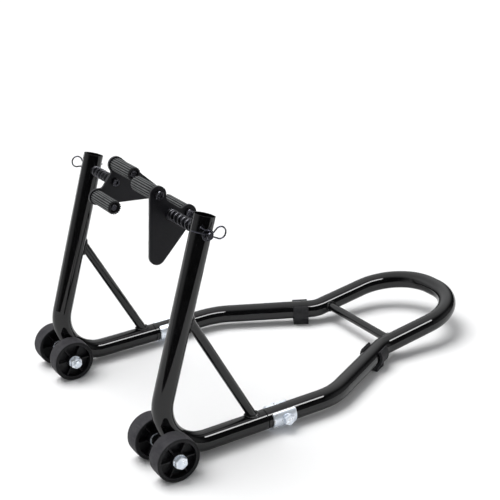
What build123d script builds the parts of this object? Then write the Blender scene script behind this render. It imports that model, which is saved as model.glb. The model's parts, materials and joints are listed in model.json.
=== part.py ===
from build123d import *
import os
from math import asin, atan2, cos, degrees, radians, sin, tan

# Front paddock stand for a motorcycle. All lengths are millimetres.
# +X runs from the wheels towards the handle loop, +Y is the stand's left side
# and +Z is up. The origin is on the floor, under the middle of the stand.

os.makedirs("parts", exist_ok=True)

# --- tube stock
tube_r = 17.2  # main tube, outer radius
tube_wall = 2.0
brace_r = 8.0  # struts and cross bar, outer radius
brace_wall = 1.6
weld_leg = 3.2  # size of the fillet welds around the braces
weld_gap = 0.02  # a welded piece stops this far from the tube it meets

# --- overall layout
side_y = 205.0  # centreline of each rail and post
wheel_r = 37.3
loop_reach = 713.0  # end of the handle loop's centreline, ahead of the axle
axle_x = (wheel_r - loop_reach - tube_r) / 2
axle_z = wheel_r

# --- side tubes: a leaning post bent into a rail
corner_x = axle_x - 24.2  # where the post and rail centrelines cross
corner_z = 21.5
post_lean = 17.4  # degrees from upright, towards the handle
post_length = 398.0
rail_rise = 0.66  # degrees above level, towards the handle
rail_length = 209.5
bend_r = 74.0

# --- struts between post and rail
strut_up_post = 245.0
strut_along_rail = 196.0

# --- handle loop
first_bend_along_rail = 349.7
second_bend_x = axle_x + 503.0
second_bend_z = 28.2
loop_half_width = 107.5
loop_rise = 9.1  # degrees above level
handle_bend_radii = (110.0, 45.0, 100.0, 100.0, 45.0, 110.0)
joint_gap = 1.5  # between the rail's end and the handle tube's end
cross_bar_x = axle_x + 528.5

# --- coupling between rail and handle tube
spigot_r = 15.1
spigot_wall = 2.5
spigot_in_rail = 50.0
spigot_in_handle = 70.0
saddle_start = rail_length + 9.0
saddle_length = 44.0
saddle_inner_r = 17.25
saddle_sheet = 2.8
saddle_gap_out = 46.0  # the gap at the top, degrees from upright, outboard
saddle_gap_in = 38.0  # and inboard
saddle_corner = 3.0
coupling_bolt_along = saddle_start + 25.5

# --- hexagon fasteners: thread radius, width across flats, head and nut heights
m10_r = 5.0
m10_flats = 17.0
m10_head = 6.4
m10_nut = 9.0
m10_washer_r = 10.0
m12_r = 6.0
m12_flats = 19.0
m12_head = 7.5
m12_nut = 12.0
m12_washer_r = 11.2
m8_r = 4.0
m8_flats = 13.0
m8_head = 5.3
m8_nut = 8.0
washer_thick = 2.0
hex_chamfer = 0.8
hole_play = 0.2  # radial play of a bolt in a fixed hole
thread_stub = 2.5  # bolt end showing past its nut
collar_step = 1.2  # the nylon collar of a lock nut is this much smaller in radius

# --- wheels
axle_sleeve_r = 10.0
axle_sleeve_half = 21.5
wheel_offset = 39.0  # wheel centre from the rail's centreline
wheel_half = 15.0
tread_inner_r = 33.2
tread_round = 1.5
rim_inner_r = 30.2
rim_half = 14.2
hub_r = 12.0
web_half = 2.5
rib_count = 6
rib_thick = 2.2
rib_half = 11.0
running_play = 0.06  # radial play of anything that turns or slides
wheel_side_play = 0.2

# --- head: sliding spring pin, swing plate and rollers
pin_up_post = 371.4
pin_ahead = 1.0  # the pin crosses the post this far ahead of its centreline
pin_r = 6.0
pin_head_r = 6.8
pin_head_height = 5.0
pin_socket_flats = 7.0
pin_socket_deep = 3.2
pin_sleeve_r = 9.0
pin_sleeve_in = 20.0  # sleeve's ends, measured from the post's centreline
pin_sleeve_out = 18.5
pin_end_y = 233.5
pin_end_chamfer = 1.2
plate_inner_y = 102.0
plate_thick = 5.0
plate_corner_r = 14.2
plate_neck_r = 6.0  # rounding of the outline's inner corners
first_roller = (-20.0, 35.5)  # from the pin, in the right plate's rest position
second_roller = (30.5, -4.6)
plain_corner = (-28.0, -65.0)
left_plate_turn = 90.0  # degrees the left plate is turned from the right one
spring_coils = 7.0
spring_wire_r = 1.5
spring_mean_r = 7.9
spring_washer_r = 9.8
seat_play = 0.1
clip_wire_r = 1.25
clip_hole_r = 1.5
straight_leg = 31.0
neck_start = 15.5
neck_r = 5.0
neck_turn = 10.0  # degrees the wire turns away before the ring
ring_r = 9.4
elbow_r = 2.0
hug_play = 0.2
hug_from = 58.0  # the hugging leg leaves the pin this many degrees above level
flare = 168.0  # direction of the hugging leg's free tail, degrees
tail_length = 13.0
clip_tilt = {"left": 5.0, "right": -26.0}  # the ring is lifted this many degrees
roller_r = 12.0
roller_bore = 8.2
roller_tip_y = 31.0
roller_core_tip_y = 40.5
roller_plate_play = 0.6
groove_count = 18
groove_wide = 1.9
groove_deep = 1.2

# --- foot clips
clip_before_bend = 31.5
foot_length = 30.0
foot_wall = 5.5
foot_width = 25.0
foot_opening = 50.0  # half angle of the gap at the top, degrees

rail_slope = radians(rail_rise)
rail_dir = Vector(cos(rail_slope), 0, sin(rail_slope))
post_dir = Vector(sin(radians(post_lean)), 0, cos(radians(post_lean)))
sides = (("left", 1), ("right", -1))


def on_rail(distance, y):
    """Point on the rail's centreline, measured from the post and rail crossing."""
    return Vector(corner_x, y, corner_z) + rail_dir * distance


def on_post(distance, y):
    """Point on the post's centreline, measured from the post and rail crossing."""
    return Vector(corner_x, y, corner_z) + post_dir * distance


def facing(point, sign):
    """Plane through a point whose normal is +Y for sign 1 and -Y for sign -1."""
    return Plane(origin=point, x_dir=(1, 0, 0), z_dir=(0, sign, 0))


pin_x = on_post(pin_up_post, 0).X + pin_ahead
pin_z = on_post(pin_up_post, 0).Z
coupling_x = on_rail(coupling_bolt_along, 0).X
coupling_z = on_rail(coupling_bolt_along, 0).Z

# Reference solids: the full outer shape of the main tubes, used to trim the
# braces and welds that meet them. They are not pieces of the stand.
tube_shape = {}
weld_shape = {}
for side, sign in sides:
    y = sign * side_y
    for shapes, radius in ((tube_shape, tube_r + weld_gap), (weld_shape, tube_r + weld_leg)):
        with BuildPart() as outer:
            with BuildLine() as path:
                FilletPolyline(
                    on_post(post_length, y), on_rail(0, y), on_rail(rail_length, y), radius=bend_r
                )
            with BuildSketch(Plane(origin=path.line @ 0, z_dir=path.line % 0)):
                Circle(radius)
            sweep(path=path.line)
        shapes[side] = outer.part

second_bend = Vector(second_bend_x, loop_half_width, second_bend_z)
loop_end_z = second_bend_z + (axle_x + loop_reach - second_bend_x) * tan(radians(loop_rise))
loop_corner = Vector(axle_x + loop_reach, loop_half_width, loop_end_z)
handle_points = [
    on_rail(rail_length + joint_gap, side_y),
    on_rail(first_bend_along_rail, side_y),
    second_bend,
    loop_corner,
    Vector(loop_corner.X, -loop_half_width, loop_end_z),
    Vector(second_bend_x, -loop_half_width, second_bend_z),
    on_rail(first_bend_along_rail, -side_y),
    on_rail(rail_length + joint_gap, -side_y),
]

with BuildLine() as handle_path:
    FilletPolyline(handle_points, radius=handle_bend_radii)
handle_start = Plane(origin=handle_path.line @ 0, z_dir=handle_path.line % 0)

for shapes, radius in ((tube_shape, tube_r + weld_gap), (weld_shape, tube_r + weld_leg)):
    with BuildPart() as outer:
        with BuildSketch(handle_start):
            Circle(radius)
        sweep(path=handle_path.line)
    shapes["handle"] = outer.part

# Side tubes: post and rail in one bent tube, with holes for the axle sleeve,
# the pin sleeve and nothing else.
for side, sign in sides:
    y = sign * side_y
    with BuildPart() as side_tube:
        with BuildLine() as path:
            FilletPolyline(
                on_post(post_length, y), on_rail(0, y), on_rail(rail_length, y), radius=bend_r
            )
        with BuildSketch(Plane(origin=path.line @ 0, z_dir=path.line % 0)):
            Circle(tube_r)
            Circle(tube_r - tube_wall, mode=Mode.SUBTRACT)
        sweep(path=path.line)
        with BuildSketch(facing((axle_x, y, axle_z), 1)):
            Circle(axle_sleeve_r + weld_gap)
        extrude(amount=2 * tube_r, both=True, mode=Mode.SUBTRACT)
        with BuildSketch(facing((pin_x, y, pin_z), 1)):
            Circle(pin_sleeve_r + weld_gap)
        extrude(amount=2 * tube_r, both=True, mode=Mode.SUBTRACT)
    side_tube.part.label = side + "_side_tube"
    export_step(side_tube.part, "parts/" + side + "_side_tube.step")

# Struts: one small tube from each post down to its rail.
for side, sign in sides:
    y = sign * side_y
    strut_top = on_post(strut_up_post, y)
    strut_foot = on_rail(strut_along_rail, y)
    strut_axis = strut_foot - strut_top
    strut_plane = Plane(origin=strut_top, z_dir=strut_axis)
    with BuildPart() as strut:
        with BuildSketch(strut_plane):
            Circle(brace_r)
            Circle(brace_r - brace_wall, mode=Mode.SUBTRACT)
        extrude(amount=strut_axis.length)
        add(tube_shape[side], mode=Mode.SUBTRACT)
    strut.part.label = side + "_strut"
    export_step(strut.part, "parts/" + side + "_strut.step")

    with BuildPart() as strut_welds:
        with BuildSketch(strut_plane):
            Circle(brace_r + weld_leg)
            Circle(brace_r + weld_gap, mode=Mode.SUBTRACT)
        extrude(amount=strut_axis.length)
        add(weld_shape[side], mode=Mode.INTERSECT)
        add(tube_shape[side], mode=Mode.SUBTRACT)
    strut_welds.part.label = side + "_strut_welds"
    export_step(strut_welds.part, "parts/" + side + "_strut_welds.step")

# Spigots: the inner tubes that line the handle up with the rails.
for side, sign in sides:
    y = sign * side_y
    spigot_start = Plane(origin=on_rail(rail_length - spigot_in_rail, y), z_dir=rail_dir)
    with BuildPart() as spigot:
        with BuildSketch(spigot_start):
            Circle(spigot_r)
            Circle(spigot_r - spigot_wall, mode=Mode.SUBTRACT)
        extrude(amount=spigot_in_rail + spigot_in_handle)
        with BuildSketch(facing((coupling_x, y, coupling_z), 1)):
            Circle(m10_r + hole_play)
        extrude(amount=2 * tube_r, both=True, mode=Mode.SUBTRACT)
    spigot.part.label = side + "_spigot"
    export_step(spigot.part, "parts/" + side + "_spigot.step")

# Handle: one long tube, joint to joint around the loop.
with BuildPart() as handle_tube:
    with BuildSketch(handle_start):
        Circle(tube_r)
        Circle(tube_r - tube_wall, mode=Mode.SUBTRACT)
    sweep(path=handle_path.line)
    for side, sign in sides:
        with BuildSketch(facing((coupling_x, sign * side_y, coupling_z), 1)):
            Circle(m10_r + hole_play)
        extrude(amount=2 * tube_r, both=True, mode=Mode.SUBTRACT)
handle_tube.part.label = "handle_tube"
export_step(handle_tube.part, "parts/handle_tube.step")

# Cross bar between the two legs of the loop.
cross_bar_z = second_bend_z + (cross_bar_x - second_bend_x) * tan(radians(loop_rise))
cross_bar_plane = facing((cross_bar_x, 0, cross_bar_z), 1)
with BuildPart() as cross_bar:
    with BuildSketch(cross_bar_plane):
        Circle(brace_r)
        Circle(brace_r - brace_wall, mode=Mode.SUBTRACT)
    extrude(amount=loop_half_width, both=True)
    add(tube_shape["handle"], mode=Mode.SUBTRACT)
cross_bar.part.label = "cross_bar"
export_step(cross_bar.part, "parts/cross_bar.step")

with BuildPart() as cross_bar_welds:
    with BuildSketch(cross_bar_plane):
        Circle(brace_r + weld_leg)
        Circle(brace_r + weld_gap, mode=Mode.SUBTRACT)
    extrude(amount=loop_half_width, both=True)
    add(weld_shape["handle"], mode=Mode.INTERSECT)
    add(tube_shape["handle"], mode=Mode.SUBTRACT)
cross_bar_welds.part.label = "cross_bar_welds"
export_step(cross_bar_welds.part, "parts/cross_bar_welds.step")

# Saddles: zinc straps bent around the underside of the handle tube's ends.
saddle_outer_r = saddle_inner_r + saddle_sheet
saddle_reach = 2 * saddle_outer_r
for side, sign in sides:
    y = sign * side_y
    saddle_plane = Plane(origin=on_rail(saddle_start, y), x_dir=(0, 1, 0), z_dir=rail_dir)
    gap_corners = [
        (saddle_reach * way * sin(radians(angle)), saddle_reach * cos(radians(angle)))
        for way, angle in ((sign, saddle_gap_out), (-sign, saddle_gap_in))
    ]
    with BuildPart() as saddle:
        with BuildSketch(saddle_plane):
            Circle(saddle_outer_r)
            Circle(saddle_inner_r, mode=Mode.SUBTRACT)
            Polygon((0, 0), *gap_corners, align=None, mode=Mode.SUBTRACT)
        extrude(amount=saddle_length)
        corners = saddle.edges().filter_by(lambda e: abs(e.length - saddle_sheet) < 0.01)
        fillet(corners, radius=saddle_corner)
        with BuildSketch(facing((coupling_x, y, coupling_z), 1)):
            Circle(m10_r + hole_play)
        extrude(amount=2 * tube_r, both=True, mode=Mode.SUBTRACT)
    saddle.part.label = side + "_saddle"
    export_step(saddle.part, "parts/" + side + "_saddle.step")

# Coupling bolts: head outboard, lock nut inboard, a washer under the head.
bolt_seat = side_y + saddle_outer_r + washer_thick
nut_seat = side_y - saddle_outer_r
with BuildPart() as coupling_bolts:
    for side, sign in sides:
        with BuildSketch(facing((coupling_x, sign * bolt_seat, coupling_z), sign)):
            RegularPolygon(radius=m10_flats / 2, side_count=6, major_radius=False)
        extrude(amount=m10_head)
        with BuildSketch(facing((coupling_x, sign * bolt_seat, coupling_z), -sign)):
            Circle(m10_r)
        extrude(amount=bolt_seat - nut_seat + m10_nut + thread_stub)
        head_face = coupling_bolts.faces().sort_by(Axis.Y)[-1 if sign > 0 else 0]
        chamfer(head_face.edges(), length=hex_chamfer)
coupling_bolts.part.label = "coupling_bolts"
export_step(coupling_bolts.part, "parts/coupling_bolts.step")

with BuildPart() as coupling_washers:
    for side, sign in sides:
        with BuildSketch(facing((coupling_x, sign * bolt_seat, coupling_z), -sign)):
            Circle(m10_washer_r)
            Circle(m10_r + hole_play, mode=Mode.SUBTRACT)
        extrude(amount=washer_thick)
coupling_washers.part.label = "coupling_washers"
export_step(coupling_washers.part, "parts/coupling_washers.step")

with BuildPart() as coupling_nuts:
    for side, sign in sides:
        with BuildSketch(facing((coupling_x, sign * nut_seat, coupling_z), -sign)):
            RegularPolygon(radius=m10_flats / 2, side_count=6, major_radius=False)
            Circle(m10_r + weld_gap, mode=Mode.SUBTRACT)
        extrude(amount=m10_nut - thread_stub)
        with BuildSketch(
            facing((coupling_x, sign * (nut_seat - m10_nut + thread_stub), coupling_z), -sign)
        ):
            Circle(m10_flats / 2 - collar_step)
            Circle(m10_r + weld_gap, mode=Mode.SUBTRACT)
        extrude(amount=thread_stub)
coupling_nuts.part.label = "coupling_nuts"
export_step(coupling_nuts.part, "parts/coupling_nuts.step")

# Foot clips: rubber clips on the handle tube, standing on the floor.
for side, sign in sides:
    first_bend = on_rail(first_bend_along_rail, sign * side_y)
    clip_bend = Vector(second_bend_x, sign * loop_half_width, second_bend_z)
    leg_dir = (clip_bend - first_bend).normalized()
    clip_start = clip_bend - leg_dir * (clip_before_bend + foot_length / 2)
    across = Vector(0, 0, 1).cross(leg_dir).normalized()
    reach = 2 * (tube_r + foot_wall)
    wedge_x = reach * sin(radians(foot_opening))
    wedge_y = reach * cos(radians(foot_opening))
    with BuildPart() as foot_clip:
        with BuildSketch(Plane(origin=clip_start, x_dir=across, z_dir=leg_dir)):
            Circle(tube_r + foot_wall)
            Rectangle(foot_width, reach, align=(Align.CENTER, Align.MAX))
            Circle(tube_r + weld_gap, mode=Mode.SUBTRACT)
            Polygon(
                (0, 0), (wedge_x, wedge_y), (-wedge_x, wedge_y), align=None, mode=Mode.SUBTRACT
            )
        extrude(amount=foot_length)
        split(bisect_by=Plane.XY, keep=Keep.TOP)
    foot_clip.part.label = side + "_foot_clip"
    export_step(foot_clip.part, "parts/" + side + "_foot_clip.step")

# Axle sleeves: welded across the outside of each bend, they carry the axle bolt.
for side, sign in sides:
    with BuildPart() as axle_sleeve:
        with BuildSketch(facing((axle_x, sign * side_y, axle_z), 1)):
            Circle(axle_sleeve_r)
            Circle(m12_r + hole_play, mode=Mode.SUBTRACT)
        extrude(amount=axle_sleeve_half, both=True)
    axle_sleeve.part.label = side + "_axle_sleeve"
    export_step(axle_sleeve.part, "parts/" + side + "_axle_sleeve.step")

    with BuildPart() as sleeve_welds:
        with BuildSketch(facing((axle_x, sign * side_y, axle_z), 1)):
            Circle(axle_sleeve_r + weld_leg)
            Circle(axle_sleeve_r + weld_gap, mode=Mode.SUBTRACT)
        extrude(amount=axle_sleeve_half - weld_leg, both=True)
        add(weld_shape[side], mode=Mode.INTERSECT)
        add(tube_shape[side], mode=Mode.SUBTRACT)
    sleeve_welds.part.label = side + "_sleeve_welds"
    export_step(sleeve_welds.part, "parts/" + side + "_sleeve_welds.step")

# Axle bolts: head outboard, lock nut inboard.
outer_seat = side_y + wheel_offset + wheel_half + wheel_side_play + washer_thick
inner_seat = side_y - wheel_offset - wheel_half - wheel_side_play - washer_thick
with BuildPart() as axle_bolts:
    for side, sign in sides:
        with BuildSketch(facing((axle_x, sign * outer_seat, axle_z), sign)):
            RegularPolygon(radius=m12_flats / 2, side_count=6, major_radius=False)
        extrude(amount=m12_head)
        with BuildSketch(facing((axle_x, sign * outer_seat, axle_z), -sign)):
            Circle(m12_r)
        extrude(amount=outer_seat - inner_seat + m12_nut + thread_stub)
        head_face = axle_bolts.faces().sort_by(Axis.Y)[-1 if sign > 0 else 0]
        chamfer(head_face.edges(), length=hex_chamfer)
axle_bolts.part.label = "axle_bolts"
export_step(axle_bolts.part, "parts/axle_bolts.step")

with BuildPart() as axle_nuts:
    for side, sign in sides:
        with BuildSketch(facing((axle_x, sign * inner_seat, axle_z), -sign)):
            RegularPolygon(radius=m12_flats / 2, side_count=6, major_radius=False)
            Circle(m12_r + weld_gap, mode=Mode.SUBTRACT)
        extrude(amount=m12_nut - thread_stub)
        with BuildSketch(
            facing((axle_x, sign * (inner_seat - m12_nut + thread_stub), axle_z), -sign)
        ):
            Circle(m12_flats / 2 - collar_step)
            Circle(m12_r + weld_gap, mode=Mode.SUBTRACT)
        extrude(amount=thread_stub)
axle_nuts.part.label = "axle_nuts"
export_step(axle_nuts.part, "parts/axle_nuts.step")

# Axle washers: outside each wheel, and between each wheel and the sleeve.
washer_starts = (
    inner_seat,
    side_y - axle_sleeve_half - washer_thick,
    side_y + axle_sleeve_half,
    outer_seat - washer_thick,
)
with BuildPart() as axle_washers:
    for side, sign in sides:
        for start in washer_starts:
            with BuildSketch(facing((axle_x, sign * start, axle_z), sign)):
                Circle(m12_washer_r)
                Circle(m12_r + hole_play, mode=Mode.SUBTRACT)
            extrude(amount=washer_thick)
axle_washers.part.label = "axle_washers"
export_step(axle_washers.part, "parts/axle_washers.step")

# Wheels: a ribbed plastic core with a hard rubber tread, two on each side.
for side, sign in sides:
    for place, wheel_shift in (("outer", wheel_offset), ("inner", -wheel_offset)):
        wheel_plane = facing((axle_x, sign * (side_y + wheel_shift), axle_z), 1)
        with BuildPart() as wheel_core:
            with BuildSketch(wheel_plane):
                Circle(tread_inner_r)
                Circle(rim_inner_r, mode=Mode.SUBTRACT)
            extrude(amount=rim_half, both=True)
            with BuildSketch(wheel_plane):
                Circle(rim_inner_r + weld_gap)
            extrude(amount=web_half, both=True)
            with BuildSketch(wheel_plane):
                with PolarLocations(0, rib_count):
                    Rectangle(rim_inner_r + weld_gap, rib_thick, align=(Align.MIN, Align.CENTER))
            extrude(amount=rib_half, both=True)
            with BuildSketch(wheel_plane):
                Circle(hub_r)
            extrude(amount=wheel_half, both=True)
            with BuildSketch(wheel_plane):
                Circle(m12_r + running_play)
            extrude(amount=2 * wheel_half, both=True, mode=Mode.SUBTRACT)
        wheel_name = side + "_" + place + "_wheel"
        wheel_core.part.label = wheel_name + "_core"
        export_step(wheel_core.part, "parts/" + wheel_name + "_core.step")

        with BuildPart() as wheel_tread:
            with BuildSketch(wheel_plane):
                Circle(wheel_r)
                Circle(tread_inner_r, mode=Mode.SUBTRACT)
            extrude(amount=wheel_half, both=True)
            shoulders = wheel_tread.edges().filter_by(GeomType.CIRCLE).filter_by(
                lambda e: e.radius > wheel_r - weld_gap
            )
            fillet(shoulders, radius=tread_round)
        wheel_tread.part.label = wheel_name + "_tread"
        export_step(wheel_tread.part, "parts/" + wheel_name + "_tread.step")

# Pin sleeves: welded through the top of each post to guide the spring pin.
for side, sign in sides:
    with BuildPart() as pin_sleeve:
        with BuildSketch(facing((pin_x, sign * (side_y - pin_sleeve_in), pin_z), sign)):
            Circle(pin_sleeve_r)
            Circle(pin_r + running_play, mode=Mode.SUBTRACT)
        extrude(amount=pin_sleeve_in + pin_sleeve_out)
    pin_sleeve.part.label = side + "_pin_sleeve"
    export_step(pin_sleeve.part, "parts/" + side + "_pin_sleeve.step")


def clip_direction(side, sign):
    """Direction of a clip's straight leg, and of the hole it goes through."""
    tilt = radians(clip_tilt[side])
    return (-sign * cos(tilt), 0, sin(tilt))


# Spring pins: round socket head inboard, cross-drilled end outboard.
clip_y = side_y + pin_sleeve_out + seat_play + washer_thick + seat_play + clip_wire_r
for side, sign in sides:
    with BuildPart() as spring_pin:
        with BuildSketch(facing((pin_x, sign * plate_inner_y, pin_z), -sign)):
            Circle(pin_head_r)
        extrude(amount=pin_head_height)
        with BuildSketch(facing((pin_x, sign * plate_inner_y, pin_z), sign)):
            Circle(pin_r)
        extrude(amount=pin_end_y - plate_inner_y)
        end_faces = spring_pin.faces().sort_by(Axis.Y)
        chamfer(end_faces[-1].edges(), length=pin_end_chamfer)
        chamfer(end_faces[0].edges(), length=pin_end_chamfer)
        socket_y = plate_inner_y - pin_head_height
        with BuildSketch(facing((pin_x, sign * socket_y, pin_z), sign)):
            RegularPolygon(radius=pin_socket_flats / 2, side_count=6, major_radius=False)
        extrude(amount=pin_socket_deep, mode=Mode.SUBTRACT)
        with BuildSketch(
            Plane(origin=(pin_x, sign * clip_y, pin_z), z_dir=clip_direction(side, sign))
        ):
            Circle(clip_hole_r)
        extrude(amount=2 * pin_r, both=True, mode=Mode.SUBTRACT)
    spring_pin.part.label = side + "_spring_pin"
    export_step(spring_pin.part, "parts/" + side + "_spring_pin.step")

# R-clips: a straight leg through the pin, a ring, and a leg that hugs the pin.
# The wire's path is a chain of arcs and lines that meet tangentially. The ring
# is towards the handle on the right side and away from it on the left.


def heading(angle):
    """Unit vector at an angle from the clip's long axis, in degrees."""
    return Vector(cos(radians(angle)), sin(radians(angle)))


def flat(point):
    """The point's two coordinates in the clip's own plane."""
    return (point.X, point.Y)


hug_r = pin_r + clip_wire_r + hug_play
elbow_centre = heading(hug_from) * (hug_r + elbow_r)
neck_end = Vector(neck_start, -neck_r) + heading(90 - neck_turn) * neck_r
ring_centre = neck_end + heading(90 - neck_turn) * ring_r
gap = elbow_centre - ring_centre
run = degrees(atan2(gap.Y, gap.X)) % 360 + degrees(asin((ring_r + elbow_r) / gap.length))
ring_end = ring_centre + heading(run - 90) * ring_r
elbow_start = elbow_centre + heading(run + 90) * elbow_r
far_elbow = heading(180 - hug_from) * (hug_r + elbow_r)
tail_start = far_elbow + heading(flare + 90) * elbow_r
tail_end = tail_start + heading(flare) * tail_length
for side, sign in sides:
    clip_plane = Plane(
        origin=(pin_x, sign * clip_y, pin_z),
        x_dir=clip_direction(side, sign),
        z_dir=(0, sign, 0),
    )
    with BuildPart() as r_clip:
        with BuildLine(clip_plane) as wire_path:
            Line((-straight_leg, 0), (neck_start, 0))
            CenterArc((neck_start, -neck_r), neck_r, 90, -neck_turn)
            CenterArc(flat(ring_centre), ring_r, -90 - neck_turn, run + neck_turn)
            Line(flat(ring_end), flat(elbow_start))
            CenterArc(flat(elbow_centre), elbow_r, run + 90, hug_from + 90 - run)
            CenterArc((0, 0), hug_r, hug_from, 180 - 2 * hug_from)
            CenterArc(flat(far_elbow), elbow_r, -hug_from, flare - 270 + hug_from)
            Line(flat(tail_start), flat(tail_end))
        with BuildSketch(Plane(origin=wire_path.line @ 0, z_dir=wire_path.line % 0)):
            Circle(clip_wire_r)
        sweep(path=wire_path.line)
    r_clip.part.label = side + "_r_clip"
    export_step(r_clip.part, "parts/" + side + "_r_clip.step")

# Washers on the pin: one under the R-clip, one between plate and spring.
for side, sign in sides:
    with BuildPart() as clip_washer:
        with BuildSketch(
            facing((pin_x, sign * (side_y + pin_sleeve_out + seat_play), pin_z), sign)
        ):
            Circle(spring_washer_r)
            Circle(pin_r + running_play, mode=Mode.SUBTRACT)
        extrude(amount=washer_thick)
    clip_washer.part.label = side + "_clip_washer"
    export_step(clip_washer.part, "parts/" + side + "_clip_washer.step")

    with BuildPart() as spring_washer:
        with BuildSketch(
            facing((pin_x, sign * (plate_inner_y + plate_thick + seat_play), pin_z), sign)
        ):
            Circle(spring_washer_r)
            Circle(pin_r + running_play, mode=Mode.SUBTRACT)
        extrude(amount=washer_thick)
    spring_washer.part.label = side + "_spring_washer"
    export_step(spring_washer.part, "parts/" + side + "_spring_washer.step")

# Springs: push the plates inboard, and let them give way outboard.
spring_start = plate_inner_y + plate_thick + seat_play + washer_thick + spring_wire_r
spring_end = side_y - pin_sleeve_in - spring_wire_r
spring_height = spring_end - spring_start - 2 * seat_play
for side, sign in sides:
    with BuildPart() as spring:
        with BuildLine():
            coil = Helix(
                pitch=spring_height / spring_coils,
                height=spring_height,
                radius=spring_mean_r,
                center=(pin_x, sign * (spring_start + seat_play), pin_z),
                direction=(0, sign, 0),
            )
        with BuildSketch(Plane(origin=coil @ 0, z_dir=coil % 0)):
            Circle(spring_wire_r)
        sweep(path=coil, is_frenet=True)
    spring.part.label = side + "_spring"
    export_step(spring.part, "parts/" + side + "_spring.step")


def turned(point, angle):
    """A point of the plate's outline, turned about the pin."""
    spin = radians(angle)
    return (
        point[0] * cos(spin) - point[1] * sin(spin),
        point[0] * sin(spin) + point[1] * cos(spin),
    )


# Swing plates with their rollers. The two plates are alike, turned differently.
# Each outline is grown and shrunk back, which rounds its inner corners.
for side, sign in sides:
    turn = left_plate_turn if sign > 0 else 0.0
    first = turned(first_roller, turn)
    second = turned(second_roller, turn)
    plain = turned(plain_corner, turn)
    top_y = plate_inner_y + plate_thick if sign > 0 else -plate_inner_y
    with BuildPart() as swing_plate:
        with BuildSketch(facing((pin_x, top_y, pin_z), -1)):
            for end in (first, second):
                middle = ((end[0] + plain[0]) / 2, (end[1] + plain[1]) / 2)
                SlotCenterPoint(middle, end, 2 * plate_corner_r)
            Polygon(first, second, plain, align=None)
            offset(amount=plate_neck_r, mode=Mode.REPLACE)
            offset(amount=-plate_neck_r, mode=Mode.REPLACE)
            with Locations(first, second):
                Circle(m8_r + hole_play, mode=Mode.SUBTRACT)
            Circle(pin_r + running_play, mode=Mode.SUBTRACT)
        extrude(amount=plate_thick)
    swing_plate.part.label = side + "_swing_plate"
    export_step(swing_plate.part, "parts/" + side + "_swing_plate.step")

    head_y = plate_inner_y + plate_thick
    nut_y = roller_core_tip_y - seat_play
    with BuildPart() as roller_bolts:
        for spot in (first, second):
            place = (pin_x + spot[0], sign * head_y, pin_z + spot[1])
            with BuildSketch(facing(place, sign)):
                RegularPolygon(radius=m8_flats / 2, side_count=6, major_radius=False)
            extrude(amount=m8_head)
            with BuildSketch(facing(place, -sign)):
                Circle(m8_r)
            extrude(amount=head_y - nut_y + m8_nut)
        head_faces = roller_bolts.faces().sort_by(Axis.Y)
        outer_faces = head_faces[-2:] if sign > 0 else head_faces[:2]
        chamfer(outer_faces.edges(), length=hex_chamfer)
    roller_bolts.part.label = side + "_roller_bolts"
    export_step(roller_bolts.part, "parts/" + side + "_roller_bolts.step")

    with BuildPart() as roller_nuts:
        for spot in (first, second):
            place = (pin_x + spot[0], sign * nut_y, pin_z + spot[1])
            with BuildSketch(facing(place, -sign)):
                RegularPolygon(radius=m8_flats / 2, side_count=6, major_radius=False)
                Circle(m8_r + weld_gap, mode=Mode.SUBTRACT)
            extrude(amount=m8_nut)
    roller_nuts.part.label = side + "_roller_nuts"
    export_step(roller_nuts.part, "parts/" + side + "_roller_nuts.step")

    for number, spot in (("first", first), ("second", second)):
        root_y = plate_inner_y - roller_plate_play
        place = (pin_x + spot[0], sign * root_y, pin_z + spot[1])
        roller_name = side + "_" + number + "_roller"
        with BuildPart() as roller_core:
            with BuildSketch(facing(place, -sign)):
                Circle(roller_bore)
                Circle(m8_r + running_play, mode=Mode.SUBTRACT)
            extrude(amount=root_y - roller_core_tip_y)
        roller_core.part.label = roller_name + "_core"
        export_step(roller_core.part, "parts/" + roller_name + "_core.step")

        with BuildPart() as roller_grip:
            with BuildSketch(facing(place, -sign)):
                Circle(roller_r)
                with PolarLocations(roller_r, groove_count):
                    Rectangle(2 * groove_deep, groove_wide, mode=Mode.SUBTRACT)
                Circle(roller_bore, mode=Mode.SUBTRACT)
            extrude(amount=root_y - roller_tip_y)
        roller_grip.part.label = roller_name + "_grip"
        export_step(roller_grip.part, "parts/" + roller_name + "_grip.step")
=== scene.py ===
import json
import math

import bmesh
import bpy
from mathutils import Matrix, Vector, noise

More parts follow.
